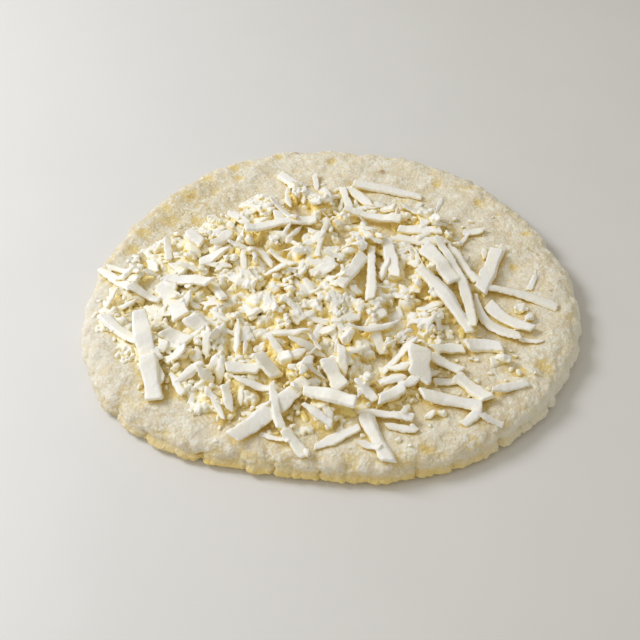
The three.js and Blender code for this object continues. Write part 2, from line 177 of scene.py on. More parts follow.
# Long shreds, lowest first: from x, y to x, y, width, and how far the middle bows to its left, if it does.
LONG_SHREDS = [
    # on the left
    (-100, 10, -82, -11, 4.4, 0.5), (-97, 10, -86, 4, 3.2, 0.5), (-78, 14, -73, 2, 4.2),
    (-72, 25, -69, 10, 3.8), (-62, 26, -55, 19, 7), (-43, 27, -50, 16, 5), (-83, -9, -70, -15, 4.4),
    (-93, -21, -76, -36, 6.6, -1), (-67, -34, -56, -39, 7.5), (-56, 7, -43, 13, 6.4),
    (-50, -3, -44, -16, 4.6), (-70, -1, -49, -8, 6.4, 1), (-72, -5, -60, -26, 8.4, 1),
    (-77, -25, -66, -58, 6.8, -1.2), (-71, -46, -67, -64, 7.2), (-62, -52, -56, -62, 3.4),
    (-56, -27, -49, -32, 8.6), (-65, -47, -56, -44, 4.6),
    # in the middle
    (-37, -26, -37, -46, 3), (-37, 26, -40, 14, 3.5), (-30, 13, -24, 5, 4), (-26, 15, -15, 3, 4),
    (-37, 24, -5, 31, 5, 1.5), (0, 33, -5, 7, 3, -1), (25, 22, 28, 0, 5.4), (10, 7, 4, -3, 3.6),
    (15, 12, 4, -11, 5.2), (18, 18, 16, -18, 4.4, 0.6), (10, 27, 17, 22, 4), (-4, -28, -9, -42, 3.5),
    (-25, -36, -8, -37, 4), (-17, -40, -2, -44, 4),
    # at the back
    (-18, 66, -17, 43, 3.4, -1.5), (-23, 74, -14, 62, 5.6), (-26, 47, -16, 31, 3.8), (-6, 73, -5, 62, 3.2),
    (7, 62, 10, 47, 4), (10, 63, 21, 48, 5.4), (12, 64, 44, 55, 5, 1), (7, 43, 33, 35, 4.4),
    (25, 46, 31, 42, 7), (29, 25, 51, 18, 4.8), (31, 31, 50, 26, 4.8), (42, 42, 44, 30, 5),
    # in front
    (-44, -66, -40, -75, 3), (-41, -59, -38, -71, 4), (-41, -51, -27, -52, 5.6), (-38, -56, -23, -61, 4),
    (-29, -47, -21, -55, 6.8), (-18, -79, -10, -89, 4.4), (-11, -69, 0, -77, 4), (10, -77, -7, -85, 4.8),
    (-11, -63, 9, -71, 6, 0.5), (10, -70, 30, -74, 3.8), (-2, -47, 4, -61, 6.6), (12, -72, 20, -92, 5.4),
    (-37, -82, -10, -57, 6.4, -0.8), (-23, -59, -19, -79, 4, -0.5), (19, -76, 31, -79, 3.6),
    (17, -66, 28, -60, 5),
    # in front on the right
    (18, -58, 28, -56, 4.2), (34, -40, 20, -52, 4), (28, -28, 7, -35, 4.2, 2), (40, -41, 53, -39, 5.4, 1.2),
    (39, -43, 51, -51, 5), (39, -56, 49, -55, 3.6), (53, -39, 68, -40, 5.4, 1.4), (48, -53, 59, -66, 6),
    (60, -62, 75, -57, 3.4), (33, -64, 56, -69, 6, 0.5), (34, -45, 33, -59, 8.4),
    # on the right
    (37, 18, 41, -5, 3), (38, 0, 56, -33, 6.2, 1.5), (66, -14, 82, -30, 5.6, -2),
    (61, -10, 76, -33, 5.8, -5.5), (52, 18, 62, -4, 4), (47, 19, 57, -31, 4.4, 3.5),
    (41, 15, 52, -7, 7.6, 0.8), (66, -7, 94, -17, 5, 2), (77, 19, 70, 7, 4), (74, 16, 63, -10, 6.8),
]
# Small shreds and flakes that lie apart or on top.
LOOSE_SHREDS = [
    (83, -20, 79, -26, 4.2), (89, 6, 84, -6, 3, 0.5), (69, 20, 68, 13, 3), (63, 28, 55, 19, 2.8),
    (60, 29, 71, 31, 4), (54, 56, 50, 46, 2.4), (44, 52, 40, 45, 3), (48, -76, 55, -71, 4),
    (54, -73, 63, -76, 3), (29, -66, 26, -73, 3), (8, -83, 17, -87, 3), (-27, -79, -16, -84, 2.4),
    (-17, 63, -9, 66, 2.6), (62, -46, 69, -44, 5), (32, 42, 44, 46, 3), (75, -34, 85, -36, 2.6),
    (-34, -36, -34, -46, 2.5), (-8, -47, -12, -58, 4.2), (33, -35, 27, -42, 3),
]
LUMPS = [  # x, y, radius
    (-82, -2, 3.2), (-79, 1, 2), (36, -71, 2), (41, -71, 1.8), (66, -45, 2.2), (69, -46, 1.6),
    (78, -17, 2.2), (14, 17, 3), (17, 22, 3.6), (22, 21, 2.8), (-1, 60, 3.2), (-6, 48, 3), (46, 39, 3.6),
    (-18, -48, 3.4), (81, -18, 1.2), (57, 21, 2), (-10, -88, 1.5),
]

# ---- The lights ----

LIGHTS = [  # name, place and width in metres, watts, colour
    ("key", (-0.6, 0.227, 0.584), 0.34, 4.35, (0.92, 0.945, 1.0)),
    ("fill", (-0.38, -0.18, 0.3), 0.4, 0.4, (0.95, 0.96, 1.0)),
]

# ---- Numbers, noise and faces ----

GRADIENTS = np.array([v for v in itertools.product((-1, 0, 1), repeat=3) if sum(map(abs, v)) == 2], float)


def smoothstep(low, high, value):
    """0 below low, 1 above high, and a smooth rise between. high may be the smaller one."""
    share = np.clip((value - low) / (high - low), 0, 1)
    return share * share * (3 - 2 * share)


def scramble(cells, seed):
    """A repeatable whole number for each cell of a lattice, scattered by large primes."""
    mixed = cells[:, 0] * 73856093 ^ cells[:, 1] * 19349663 ^ cells[:, 2] * 83492791 ^ seed * 2654435761
    mixed = (mixed ^ (mixed >> 13)) * 1274126177
    return (mixed ^ (mixed >> 16)) & 0x7FFFFFFF


def waves(points, scale, seed=0):
    """Smooth noise, about -1 to 1, with one bump every scale millimetres."""
    place = points / scale + 0.37 * seed
    cells = np.floor(place).astype(np.int64)
    inside = place - cells
    ease = inside**3 * (inside * (inside * 6 - 15) + 10)
    total = np.zeros(len(points))
    for corner in itertools.product((0, 1), repeat=3):
        gradient = GRADIENTS[scramble(cells + corner, seed) % len(GRADIENTS)]
        weight = np.prod(np.where(corner, ease, 1 - ease), axis=1)
        total += weight * np.sum(gradient * (inside - corner), axis=1)
    return total


def grains(points, scale, seed=0):
    """Rounded grains: near 1 in the middle of each grain, and near 0 in the creases between them."""
    place = points / scale
    cells = np.floor(place).astype(np.int64)
    nearest = np.full(len(points), 9.0)
    for step in itertools.product((-1, 0, 1), repeat=3):
        cell = cells + step
        centre = np.stack([scramble(cell, seed + k) % 1000 / 1000 for k in range(3)], axis=1) + cell
        nearest = np.minimum(nearest, np.sum((place - centre) ** 2, axis=1))
    return 1 - np.clip(np.sqrt(nearest), 0, 1)


def layered(noise, layers, points):
    """Layers of noise added up. Each has a height, the size of one wave or grain, and a seed."""
    return sum(height * noise(points, size, seed) for height, size, seed in layers)


def wave_sum(rows, angle):
    """The outline rows' bulges, added up at an angle in radians."""
    return sum(height * np.cos(times * angle - math.radians(peak)) for times, height, peak in rows)


def smoothing(cells):
    """Weights that smooth a row of values over an odd number of cells."""
    window = np.hanning(cells + 2)[1:-1]
    return window / window.sum()


def tube_faces(rows, columns):
    """Faces between rows of points that each go once round. The last two points close the ends."""
    first = np.arange(columns)
    following = np.roll(first, -1)
    start = (np.arange(rows - 1) * columns)[:, None]
    upper = start + columns
    quads = np.stack([start + first, upper + first, upper + following, start + following], axis=2)
    head, tail, last = rows * columns, rows * columns + 1, (rows - 1) * columns
    faces = quads.reshape(-1, 4).tolist()
    faces += np.stack([first * 0 + head, first, following], axis=1).tolist()
    faces += np.stack([first * 0 + tail, last + following, last + first], axis=1).tolist()
    return faces


# ---- The cake's form ----


def cake_outline(angle):
    """The outline's radius at an angle in radians."""
    return CAKE_RADIUS + wave_sum(BULGES, angle) + wave_sum(EDGE_WAVES, angle)


def top_lumps(x, y):
    """How far the top's long swells raise a place."""
    return sum(
        height * np.sin(2 * np.pi * (x / along_x + y / along_y) + phase)
        for height, along_x, along_y, phase in TOP_LUMPS
    )


def cake_top(x, y):
    """How high the cake's top stands at a place, and 0 outside the cake."""
    inset = cake_outline(np.arctan2(y, x)) - np.hypot(x, y)
    insets, heights = zip(*RIM_PROFILE[3:])
    return np.where(inset > 0, np.interp(inset, insets, heights) + top_lumps(x, y), 0)


def cake_profile():
    """The cake's profile as rings: inset and height, close together where the cake shows."""
    line = np.array([(CAKE_RADIUS, 0), *RIM_PROFILE, (CAKE_RADIUS, CAKE_MIDDLE_HEIGHT)], float)
    for _ in range(PROFILE_ROUNDINGS):
        early, late = line[:-1], line[1:]
        middle = np.stack([0.75 * early + 0.25 * late, 0.25 * early + 0.75 * late], axis=1).reshape(-1, 2)
        line = np.vstack([line[:1], middle[1:-1], line[-1:]])
    steps = np.hypot(*np.diff(line, axis=0).T)
    inset, height = ((line[:-1] + line[1:]) / 2).T
    hidden = (height < 1) | (inset > HEAP_COVER)
    spacing = np.where(inset < EDGE_REACH, EDGE_SPACING, np.where(hidden, HIDDEN_SPACING, TOP_SPACING))
    count = np.concatenate([[0], np.cumsum(steps / spacing)])
    wanted = np.linspace(0, count[-1], round(count[-1]) + 1)
    return np.stack([np.interp(wanted, count, line[:, k]) for k in range(2)], axis=1)


def dough_relief(place, edge, low):
    """How far the dough stands out: waves, grains, dimples, a torn lower edge and a puffed upper one."""
    height = place[:, 2]
    relief = layered(waves, DOUGH_WAVES, place)
    relief += sum(rise * (grains(place, size, seed) - 0.5) for rise, size, seed in DOUGH_GRAINS)
    relief -= PIT_DEPTH * smoothstep(0.25, 0.6, waves(place, 4.4, 5))
    for x, y, reach in GOLDEN_DIMPLES:
        away = (place[:, 0] - x) ** 2 + (place[:, 1] - y) ** 2
        relief -= DIMPLE_DEPTH * np.exp(-away / reach**2) * (height > 8)
    torn = 0.6 * waves(place * (1, 1, 1.6), 6.5, 6) + layered(waves, EDGE_TEARS, place)
    relief = relief * (1 - 0.35 * edge) + low * torn
    puffs = edge * smoothstep(4, 8, height) * (grains(place * (1, 1, 0.6), 5.6, 18) - 0.6)
    return relief + PUFF_HEIGHT * puffs + 0.35 * edge * (grains(place, 1.9, 20) - 0.5)


def front_form(place, angle):
    """How far the front edge stands out: a wavering ledge 2 mm up, and a hollow above it."""
    height, tall = place[:, 2], place * (1, 1, 0.3)
    ledge = 1.1 + 0.9 * waves(tall, 5.5, 26) + 0.6 * waves(tall, 2.3, 27)
    form = ledge * np.exp(-(((height - 2.0) / 1.3) ** 2)) - 0.9 * np.exp(-(((height - 5.4) / 1.6) ** 2))
    return smoothstep(-0.35, -0.75, np.sin(angle)) * form


def split_depth(angle, height):
    """How far the splits cut into the edge, less how far their lips stand out."""
    cut = np.zeros_like(angle)
    reach = smoothstep(9.5, 3, height)
    for place, depth, width, lip in SPLITS:
        along = np.radians((np.degrees(angle) - place + 180) % 360 - 180) * CAKE_RADIUS
        along = along + 0.5 * np.sin(height * 1.7 + place)
        cut = np.maximum(cut, depth * np.clip(1 - np.abs(along) / (0.5 * width), 0, 1) ** 0.8 * reach)
        cut = cut - lip * reach * np.where(along > 0, np.exp(-np.abs(along) / 5), 0)
    return cut


def cake_mesh():
    """The cake's points and faces, and how deep in its relief each point lies, 0 to 1."""
    profile = cake_profile()
    rings = len(profile)
    angle, ring = np.meshgrid(np.linspace(0, 2 * np.pi, CAKE_SEGMENTS, endpoint=False), np.arange(rings))
    angle, ring = angle.ravel(), ring.ravel()
    inset, height = profile[ring].T
    radius = (CAKE_RADIUS - inset) * cake_outline(angle) / CAKE_RADIUS
    along = np.gradient(profile, axis=0)
    along /= np.linalg.norm(along, axis=1)[:, None]
    out, up = along[ring, 1], along[ring, 0]  # the profile's own normal: outwards, upwards
    place = np.stack([radius * np.cos(angle), radius * np.sin(angle), height], axis=1)

    edge = smoothstep(9, 2.5, inset)
    low = edge * smoothstep(7.5, 2, height)
    under = smoothstep(0.6, 0, height)
    relief = dough_relief(place, edge, low)
    depth = np.clip(0.5 - 0.8 * relief + 0.3 * waves(place, 6, 19), 0, 1)
    relief += edge * front_form(place, angle)
    relief -= edge * split_depth(angle, height) * smoothstep(0.02, 0.3, height)
    relief *= 1 - under
    place[:, 0] += relief * out * np.cos(angle)
    place[:, 1] += relief * out * np.sin(angle)
    place[:, 2] += relief * up * (1 - low) + np.where(height > 4.5, top_lumps(place[:, 0], place[:, 1]), 0)
    dimples = 0.5 * smoothstep(0.1, 0.5, waves(place, 11, 8)) + 0.3 * grains(place, 2.6, 9)
    place[:, 2] += under * smoothstep(8, 16, inset) * dimples
    place[:, 2] = np.maximum(place[:, 2], 0)

    inner = slice(CAKE_SEGMENTS, (rings - 1) * CAKE_SEGMENTS)
    poles = np.array([(0, 0, 0), (0, 0, CAKE_MIDDLE_HEIGHT)], float)
    faces = [[face[0], *face[:0:-1]] for face in tube_faces(rings - 2, CAKE_SEGMENTS)]  # turned to face outwards
    return (np.vstack([place[inner], poles]), faces), np.concatenate([depth[inner], [0.5, 0.5]])


# ---- The heap's form and the bed that the cheese is laid on ----


def heap_share(x, y):
    """0 in the heap's middle and 1 at its uneven edge."""
    dx, dy = x - HEAP_CENTRE[0], y - HEAP_CENTRE[1]
    return np.hypot(dx, dy) / (HEAP_RADIUS + wave_sum(HEAP_BULGES, np.arctan2(dy, dx)))


def heap_height(x, y):
    """How far the heap stands over the cake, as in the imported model."""
    share = np.minimum(heap_share(x, y), 1)
    dome = HEAP_EDGE_HEIGHT + (HEAP_MIDDLE_HEIGHT - HEAP_EDGE_HEIGHT) * (1 - share**2.4)
    lumps = 0.55 * np.sin(x / 2.7 + 1) * np.cos(y / 2.3) + 0.4 * np.sin(x / 1.9 - y / 3.1)
    return np.where(share < 1, dome + lumps * (1 - share**4), 0)


class Bed:
    """How high the surface stands under each point, while the cheese is laid down piece by piece."""

    cell = 0.46
    half_width = 111
    half_depth = 103.5

    def __init__(self, height_at):
        self.x = np.arange(-self.half_width, self.half_width + self.cell, self.cell)
        self.y = np.arange(-self.half_depth, self.half_depth + self.cell, self.cell)
        self.heights = height_at(*np.meshgrid(self.x, self.y))

    def index(self, x, y):
        column = np.rint((np.asarray(x) + self.half_width) / self.cell).astype(int)
        row = np.rint((np.asarray(y) + self.half_depth) / self.cell).astype(int)
        return np.clip(row, 0, len(self.y) - 1), np.clip(column, 0, len(self.x) - 1)

    def read(self, x, y):
        return self.heights[self.index(x, y)]

    def patch(self, x, y, reach):
        """The part of the grid within reach of a place, with each cell's offset from it."""
        row, column = self.index(x, y)
        span = int(math.ceil(reach / self.cell))
        rows = slice(max(0, row - span), row + span + 1)
        columns = slice(max(0, column - span), column + span + 1)
        return self.heights[rows, columns], self.x[columns][None, :] - x, self.y[rows][:, None] - y


def resting_line(supports):
    """The line of a stiff rod on bumps: the stretch of the bumps' upper hull over the rod's middle."""
    hull = []
    for k, height in enumerate(supports):
        while len(hull) > 1:
            (a, low), (b, high) = hull[-2:]
            if (high - low) * (k - a) > (height - low) * (b - a):
                break
            hull.pop()
        hull.append((k, height))
    middle = (len(supports) - 1) / 2
    (a, low), (b, high) = next(pair for pair in zip(hull, hull[1:]) if pair[0][0] <= middle <= pair[1][0])
    return low + (high - low) * (np.arange(len(supports)) - a) / (b - a)


def lay_shred(bed, shred, thickness, sink=SHRED_SINK):
    """The middle line of a shred's underside, laid on the bed, and its tilt. It then raises the bed."""
    x0, y0, x1, y1, width, bow = (*shred, 0)[:6]
    length = math.hypot(x1 - x0, y1 - y0)
    count = max(5, math.ceil(length / Bed.cell))
    share = np.linspace(0, 1, count + 1)
    side = np.array([-(y1 - y0), x1 - x0]) / length
    out = 4 * bow * share * (1 - share)
    x = x0 + (x1 - x0) * share + side[0] * out
    y = y0 + (y1 - y0) * share + side[1] * out
    across = np.linspace(-0.4, 0.4, 9)[:, None] * width
    under = bed.read(x + side[0] * across, y + side[1] * across)
    supports = np.quantile(under[1:-1], 0.8, axis=0)
    z = supports + SHRED_STIFFNESS * (resting_line(supports) - supports)
    window = smoothing(17)
    z = np.convolve(np.pad(z, len(window) // 2, mode="edge"), window, mode="valid") - sink
    tilt = np.clip((under[-1].mean() - under[0].mean()) / width, -0.6, 0.6) * 0.7
    rise = thickness * (1 - 0.5 * (2 * across / width) ** 4) + tilt * across
    np.maximum.at(bed.heights, bed.index(x + side[0] * across, y + side[1] * across), z + rise)
    return np.stack([x, y, z], axis=1), tilt


# ---- Pieces of cheese ----


def shred_section(dice):
    """A shred's section, -1 to 1 both ways: four bevelled corners and slightly bulging sides."""
    lean, narrow = dice.uniform(-0.25, 0.25), dice.uniform(0.55, 1.0)
    corners = [(-1, -0.8), (1, -0.8), (narrow + lean, 1), (-narrow + lean, 1)]
    corners = np.array([(x + dice.uniform(-0.08, 0.08), z + dice.uniform(-0.2, 0.2)) for x, z in corners])
    points = []
    for before, corner, after in zip(np.roll(corners, 1, axis=0), corners, np.roll(corners, -1, axis=0)):
        bevel = dice.uniform(0.05, 0.12)
        points += [corner + bevel * (before - corner), corner + bevel * (after - corner)]
        middle = (corner + after) / 2
        points.append(middle * (1 + dice.uniform(-0.12, 0.1) * np.array([abs(middle[0]), 1])))
    return np.array(points)


def shred_frame(line, spacing):
    """Stations along a shred's line, their places, and the ways along, across and up there."""
    steps = np.linalg.norm(np.diff(line, axis=0), axis=1)
    travel = np.concatenate([[0], np.cumsum(steps)])
    length = travel[-1]
    nose = min(0.35, 0.1 * length)
    stations = np.linspace(nose, length - nose, max(4, round(length / spacing)))
    stations = np.concatenate([[0], stations, [length]])
    centre = np.stack([np.interp(stations, travel, line[:, k]) for k in range(3)], axis=1)
    tangent = np.gradient(centre, axis=0)
    tangent /= np.linalg.norm(tangent, axis=1)[:, None]
    side = np.stack([-tangent[:, 1], tangent[:, 0], 0 * tangent[:, 0]], axis=1)
    side /= np.linalg.norm(side, axis=1)[:, None]
    return stations, centre, tangent, side, np.cross(tangent, side)


def shred_mesh(line, width, thickness, tilt, dice, rough, blunt, spacing=0.7):
    """One grated shred along its line: a bar with torn edges and broken or tapered ends."""
    stations, centre, tangent, side, up = shred_frame(line, spacing)
    length = stations[-1]
    share = stations / length
    roll = math.atan(tilt) + dice.uniform(-0.2, 0.2) + dice.uniform(-0.5, 0.5) * (share - 0.5)
    cosine, sine = np.cos(roll)[:, None], np.sin(roll)[:, None]
    side, up = side * cosine + up * sine, up * cosine - side * sine
    ends = []
    for _ in range(2):
        ends.append((0.93, 0.1) if dice.random() < blunt else (dice.uniform(0.25, 0.7), dice.uniform(0.2, 0.5)))
    (near, near_reach), (far, far_reach) = ends
    near_taper = near + (1 - near) * smoothstep(0, near_reach, share)
    taper = np.minimum(near_taper, far + (1 - far) * smoothstep(1, 1 - far_reach, share))
    close = np.where((stations < 0.01) | (stations > length - 0.01), 0.8, 1)
    drift = 1 + 0.1 * np.sin(share * dice.uniform(4, 11) + dice.uniform(0, 6))
    half_width = 0.5 * width * taper * drift * close
    half_height = 0.5 * thickness * (0.35 + 0.65 * taper) * close
    across, rise = shred_section(dice).T
    skew = [dice.uniform(-0.5, 0.5) * width for _ in range(2)]
    shear = skew[0] * smoothstep(0.25, 0, share) + skew[1] * smoothstep(0.75, 1, share)
    points = (
        centre[:, None, :]
        + side[:, None, :] * (half_width[:, None] * across)[:, :, None]
        + up[:, None, :] * (half_height[:, None] * rise + 0.5 * thickness)[:, :, None]
        + tangent[:, None, :] * (shear[:, None] * across * 0.5)[:, :, None]
    )
    outward = points - (centre + up * 0.5 * thickness)[:, None, :]
    outward /= np.linalg.norm(outward, axis=2)[:, :, None] + 1e-6
    rows, columns = points.shape[:2]
    flat = points.reshape(-1, 3)
    bumps = layered(waves, SHRED_WAVES, flat) - 0.4 * smoothstep(0.15, 0.5, waves(flat, 2.2, 15))
    torn = 0.25 + 1.1 * np.abs(across) ** 3
    points = points + outward * (bumps.reshape(rows, columns) * torn * rough)[:, :, None]
    caps = [points[0].mean(axis=0), points[-1].mean(axis=0)]
    return np.vstack([points.reshape(-1, 3), *caps]), tube_faces(rows, columns)


def unit_ball(subdivisions):
    """Points and faces of a round ball of triangles."""
    ball = bmesh.new()
    bmesh.ops.create_icosphere(ball, subdivisions=subdivisions, radius=1)
    points = np.array([v.co for v in ball.verts])
    faces = [[v.index for v in f.verts] for f in ball.faces]
    ball.free()
    return points, faces


CRUMB_BALL = unit_ball(2)
LUMP_BALL = unit_ball(3)


def lump_mesh(dice, size, centre, ball):
    """A broken lump: a ball cut flat by random planes, then roughened."""
    directions, faces = ball
    planes = np.array([[dice.gauss(0, 1) for _ in range(3)] for _ in range(LUMP_FACETS)])
    planes /= np.linalg.norm(planes, axis=1)[:, None]
    planes /= np.array([dice.uniform(0.5, 1.0) for _ in range(LUMP_FACETS)])[:, None]
    reach = np.clip(directions @ planes.T, 1e-3, None)
    radius = np.minimum((reach**9).sum(axis=1) ** (-1 / 9), 1.45)
    offset = dice.uniform(0, 500)
    rough = 0.4 * waves(directions * 1.6 + offset, 1, 13), 0.3 * waves(directions * 3.4 + offset, 1, 14)
    points = directions * (radius * (1 + rough[0] + rough[1]))[:, None] * size
    turn = Euler((dice.uniform(-0.6, 0.6), dice.uniform(-0.6, 0.6), dice.uniform(0, 6.28))).to_matrix()
    return points @ np.array(turn).T + centre, faces


def lump(dice, bed, x, y, radius, sink, ball=CRUMB_BALL):
    """A lump settled on the bed at a place. It then raises the bed."""
    size = radius * np.array([dice.uniform(0.85, 1.25), dice.uniform(0.75, 1.0), dice.uniform(0.6, 0.9)])
    heights, dx, dy = bed.patch(x, y, radius)
    distance = np.hypot(dx, dy)
    inside = distance < radius
    support = 0.5 * (heights[inside].mean() + heights[inside].max())
    middle = support + size[2] * (1 - 2 * sink)
    dome = middle + 0.8 * size[2] * np.sqrt(np.clip(1 - (distance / radius) ** 2, 0, 1))
    heights[inside] = np.maximum(heights[inside], dome[inside])
    return lump_mesh(dice, size, np.array([x, y, middle]), ball)


def stamp_bit(bed, dice, x, y, length, width, height):
    """A small angular bit that is part of the core's own surface."""
    angle = dice.uniform(0, math.pi)
    heights, dx, dy = bed.patch(x, y, 0.6 * length)
    u = (dx * math.cos(angle) + dy * math.sin(angle)) / (0.5 * length)
    v = (dy * math.cos(angle) - dx * math.sin(angle)) / (0.5 * width)
    edge = np.maximum(np.abs(u + dice.uniform(-0.4, 0.4) * v), np.abs(v + dice.uniform(-0.3, 0.3) * u))
    inside = edge < 1
    if not inside.any():
        return
    slope = dice.uniform(-0.5, 0.5) * u + dice.uniform(-0.5, 0.5) * v
    top = heights[inside].mean() + height * (1 + slope[inside]) * (1 - edge[inside] ** 5)
    heights[inside] = np.maximum(heights[inside], top)


def joined(meshes):
    """Meshes gathered into one."""
    starts = np.cumsum([0] + [len(points) for points, _ in meshes]).tolist()
    faces = [[start + k for k in face] for start, (_, own) in zip(starts, meshes) for face in own]
    return np.vstack([points for points, _ in meshes]), faces


# ---- Laying the cheese ----


def heap_place(dice, bed, most, bare):
    """A random place in the heap, up to a share of its reach. Hollows and big shreds stay mostly bare."""
    while True:
        angle = dice.uniform(-math.pi, math.pi)
        share = most * math.sqrt(dice.random())
        spread = np.interp(math.degrees(angle), *zip(*SPREAD))
        reach = share * (HEAP_RADIUS + float(wave_sum(HEAP_BULGES, angle)) + spread)
        x, y = HEAP_CENTRE[0] + reach * math.cos(angle), HEAP_CENTRE[1] + reach * math.sin(angle)
        row, column = bed.index(x, y)
        wanted = bed.plenty[row, column] > bare and not bed.clean[row, column]
        if bed.heights[row, column] < HEAP_TOP and (wanted or dice.random() < STRAY_SHARE):
            return x, y


def core_bed(dice):
    """The core under the loose pieces: low banks of fused crumbs with hollows between them."""
    bed = Bed(cake_top)
    x, y = np.meshgrid(bed.x, bed.y)
    flat = np.stack([x.ravel(), y.ravel(), 0 * x.ravel()], axis=1)
    left = smoothstep(-20, -60, x)
    bed.plenty = layered(waves, BANK_WAVES, flat).reshape(x.shape)
    bed.clean = np.zeros(x.shape, bool)
    bed.plenty += LEFT_BANKS * left - 0.06 * smoothstep(20, 60, x)
    bank = smoothstep(-0.14, 0.16, bed.plenty)
    hollow = HOLLOW_DEPTH - LEFT_HOLLOWS * left
    rise = heap_height(x, y) - hollow + (hollow - BANK_DEPTH) * bank
    rise += layered(waves, CORE_WAVES, flat).reshape(x.shape)
    bed.heights += np.where((bed.heights > 0) & (heap_share(x, y) < 1), np.maximum(rise, 0), 0)
    for count, most, bare, lengths, widths, heights in STAMPED_BITS:
        for _ in range(count):
            x, y = heap_place(dice, bed, most, bare)
            stamp_bit(bed, dice, x, y, dice.uniform(*lengths), dice.uniform(*widths), dice.uniform(*heights))
    return bed


def corners(grid):
    """A grid's values at the four corners of each of its cells, in order round the cell."""
    return np.stack([grid[:-1, :-1], grid[:-1, 1:], grid[1:, 1:], grid[1:, :-1]], axis=2)


def core_mesh(bed):
    """The core as a closed body: the bed's surface over a floor sunk into the cake."""
    x, y = np.meshgrid(bed.x, bed.y)
    cake = cake_top(x, y)
    inside = cake > 0
    lifted = (bed.heights > cake + 0.12) & inside
    keep = corners(lifted).any(axis=2) & corners(inside).all(axis=2)
    quads = corners(np.arange(x.size).reshape(x.shape))[keep]
    sides = np.stack([quads, np.roll(quads, -1, axis=1)], axis=2).reshape(-1, 2)
    keys = sides[:, 0] * x.size + sides[:, 1]
    outer = sides[~np.isin(keys, sides[:, 1] * x.size + sides[:, 0])]
    walls = np.stack([outer[:, 1], outer[:, 0], outer[:, 0] + x.size, outer[:, 1] + x.size], axis=1)
    used, faces = np.unique(np.vstack([quads, quads[:, ::-1] + x.size, walls]), return_inverse=True)
    heights = [np.where(lifted, bed.heights, cake - CORE_SKIRT), cake - CORE_FLOOR]
    points = np.vstack([np.stack([x, y, z], axis=2).reshape(-1, 3) for z in heights])
    return points[used], faces.reshape(-1, 4).tolist()


def how_deep(bed, points):
    """How deep points lie below the heap's smoothed surface: 0 at the top, 1 in the deepest crevices, for the
    cheese's painted crevice shade.
    """
    window = smoothing(15)
    smooth = bed.heights
    for axis in (0, 1):
        smooth = np.apply_along_axis(np.convolve, axis, smooth, window, mode="same")
    below = smooth[bed.index(points[:, 0], points[:, 1])] - points[:, 2]
    return np.clip((below - 0.2) / DEEPEST, 0, 1)


def short_shred(dice, bed, lengths, widths, lift):
    """A short torn shred somewhere in the heap. One end may stand up by a share of its length."""
    x, y = heap_place(dice, bed, FLAKE_REACH, -0.03)
    angle = dice.uniform(0, math.pi)
    length = dice.uniform(*lengths)
    width = min(dice.uniform(*widths), 0.8 * length)
    dx, dy = 0.5 * length * math.cos(angle), 0.5 * length * math.sin(angle)
    shred = (x - dx, y - dy, x + dx, y + dy, width, dice.uniform(-0.8, 0.8))
    thickness = width * dice.uniform(0.25, 0.5)
    line, tilt = lay_shred(bed, shred, thickness, sink=1.0)
    line[:, 2] += dice.uniform(-lift, lift) * length * np.linspace(-0.3, 0.7, len(line))
    return shred_mesh(line, width, thickness, tilt, dice, rough=1.2, blunt=0.35, spacing=0.9)


def long_shred(dice, bed, shred):
    """A shred at its measured place, its ends a little lifted. Wide ones stay clean of small pieces."""
    width = shred[4]
    thickness = min(width * dice.uniform(*SHRED_THICKNESS), THICKEST_SHRED)
    line, tilt = lay_shred(bed, shred, thickness)
    reach = min(1.0, 0.06 * math.dist(shred[:2], shred[2:4]))
    ends = np.linspace(-1, 1, len(line))
    lift = reach * (dice.uniform(0, 1.6) * ends**2 + dice.uniform(-1.5, 1.5) * ends)
    line[:, 2] += lift - lift.min()
    if width > CLEAN_FROM_WIDTH:
        bed.clean[bed.index(line[:, 0], line[:, 1])] = True
    blunt = 0.88 if width > BLUNT_FROM_WIDTH else 0.5
    return shred_mesh(line, width, thickness, tilt, dice, rough=0.7, blunt=blunt)


def clump(dice, bed, radii, counts, most, bare):
    """Crumbs that cling together, the larger ones in the middle."""
    count = dice.randint(*counts)
    x, y = heap_place(dice, bed, most, bare)
    spread = dice.uniform(1.0, 2.9)
    crumbs = []
    for _ in range(count):
        angle, share = dice.uniform(0, 2 * math.pi), math.sqrt(dice.random())
        place = x + spread * share * math.cos(angle), y + spread * share * math.sin(angle)
        if bed.read(*place) < HEAP_TOP:
            radius = dice.uniform(*radii) * (1.15 - 0.4 * share)
            crumbs.append(lump(dice, bed, *place, radius, sink=0.55))
    return crumbs


